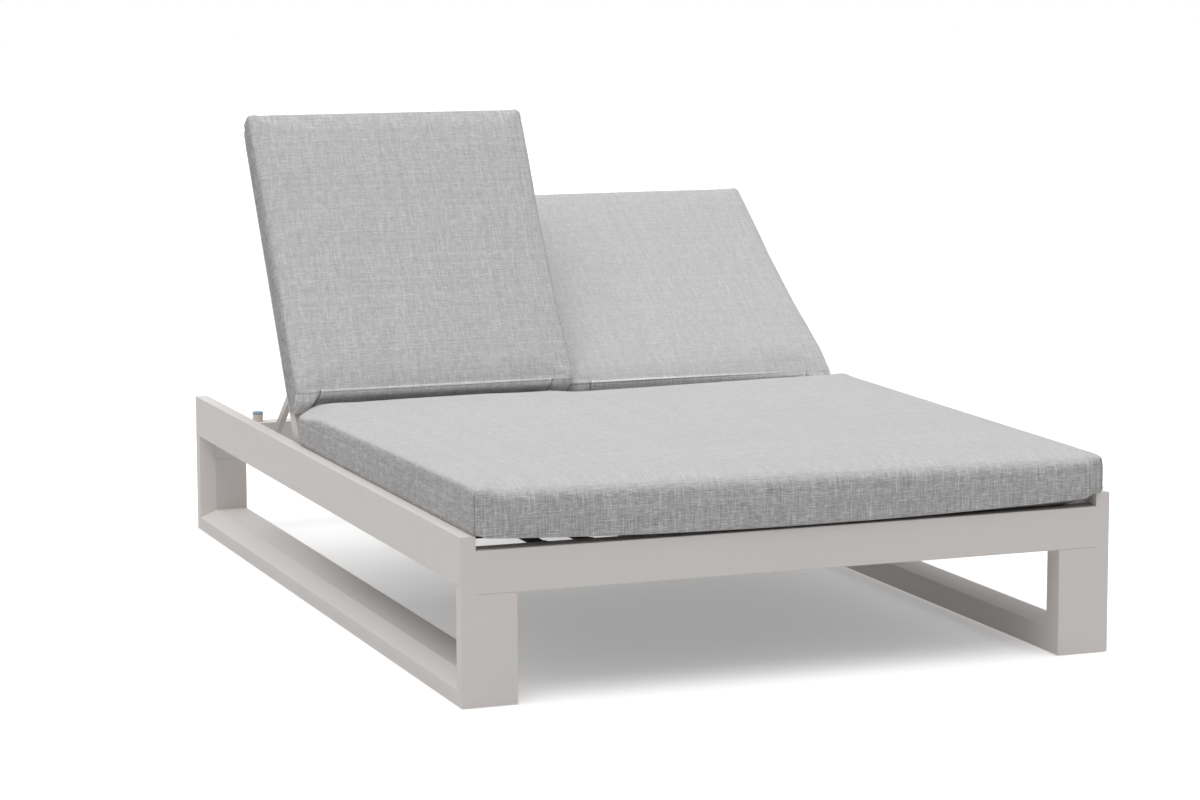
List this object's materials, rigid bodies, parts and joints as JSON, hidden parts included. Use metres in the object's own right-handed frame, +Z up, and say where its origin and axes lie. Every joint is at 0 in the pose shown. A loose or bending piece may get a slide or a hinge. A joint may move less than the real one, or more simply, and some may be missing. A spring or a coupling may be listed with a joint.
{
  "type": "double chaise lounger",
  "caption": "Low double garden lounger with a wide seat cushion on a strapped metal frame and side-by-side backs that tilt on their own and stand on notched props",
  "frame": {"origin": "on the floor, under the middle of the frame's footprint", "axes": "+X to the right seen from the foot end, +Y along the length towards the head, +Z up"},
  "size_m": [1.38, 2.07, 1.0288],
  "materials": {
    "frame_paint": "satin",
    "cushion_fabric": "matte",
    "elastic_strap": "matte",
    "dark_plastic": "matte",
    "pale_plastic": "matte",
    "soft_tip": "matte",
    "pin_steel": "satin"
  },
  "bodies": {
    "base": {"left_side_rail": "frame_paint", "left_lower_rail": "frame_paint", "left_front_leg": "frame_paint", "left_rear_leg": "frame_paint", "right_side_rail": "frame_paint", "right_lower_rail": "frame_paint", "right_front_leg": "frame_paint", "right_rear_leg": "frame_paint", "front_crossbar": "frame_paint", "rear_crossbar": "frame_paint", "hinge_beam": "frame_paint", "middle_beam": "frame_paint", "centre_beam": "frame_paint", "centre_beam_hanger": "frame_paint", "rail_end_plates": "frame_paint", "left_hinge_lugs": "frame_paint", "left_outer_rack": "frame_paint", "left_middle_rack": "frame_paint", "right_hinge_lugs": "frame_paint", "right_outer_rack": "frame_paint", "right_middle_rack": "frame_paint", "seat_long_straps": "elastic_strap", "seat_cross_straps": "elastic_strap", "seat_strap_clips": "dark_plastic", "floor_glides": "dark_plastic", "rest_posts": "pale_plastic", "rest_post_tips": "soft_tip", "seat_cushion": "cushion_fabric", "left_hinge_pins": "pin_steel", "right_hinge_pins": "pin_steel"},
    "left_back": {"left_back_outer_tube": "frame_paint", "left_back_inner_tube": "frame_paint", "left_back_top_bar": "frame_paint", "left_back_bottom_bar": "frame_paint", "left_back_long_straps": "elastic_strap", "left_back_cross_straps": "elastic_strap", "left_back_strap_clips": "dark_plastic", "left_back_hinge_bushes": "dark_plastic", "left_back_tube_plugs": "dark_plastic", "left_back_prop_pins": "pin_steel", "left_back_cushion": "cushion_fabric"},
    "left_prop": {"left_prop_outer_arm": "frame_paint", "left_prop_inner_arm": "frame_paint", "left_prop_foot_bar": "frame_paint"},
    "right_back": {"right_back_outer_tube": "frame_paint", "right_back_inner_tube": "frame_paint", "right_back_top_bar": "frame_paint", "right_back_bottom_bar": "frame_paint", "right_back_long_straps": "elastic_strap", "right_back_cross_straps": "elastic_strap", "right_back_strap_clips": "dark_plastic", "right_back_hinge_bushes": "dark_plastic", "right_back_tube_plugs": "dark_plastic", "right_back_prop_pins": "pin_steel", "right_back_cushion": "cushion_fabric"},
    "right_prop": {"right_prop_outer_arm": "frame_paint", "right_prop_inner_arm": "frame_paint", "right_prop_foot_bar": "frame_paint"}
  },
  "joints": [
    {"name": "left_back_hinge", "type": "hinge", "parent": "base", "child": "left_back", "pos_m": [0, 0.225, 0.2823], "axis": [1, 0, 0], "range_deg": [-59, 0]},
    {"name": "left_prop_pivot", "type": "hinge", "parent": "left_back", "child": "left_prop", "pos_m": [0, 0.34207, 0.47713], "axis": [1, 0, 0], "range_deg": [0, 88.95]},
    {"name": "right_back_hinge", "type": "hinge", "parent": "base", "child": "right_back", "pos_m": [0, 0.225, 0.2823], "axis": [1, 0, 0], "range_deg": [-34.3, 24.7]},
    {"name": "right_prop_pivot", "type": "hinge", "parent": "right_back", "child": "right_prop", "pos_m": [0, 0.41277, 0.41039], "axis": [1, 0, 0], "range_deg": [-37.3, 51.76]}
  ],
  "couplings": [
    {"joint": "left_prop_pivot", "follows": "left_back_hinge", "ratio": -1.506},
    {"joint": "right_prop_pivot", "follows": "right_back_hinge", "ratio": -1.506}
  ]
}
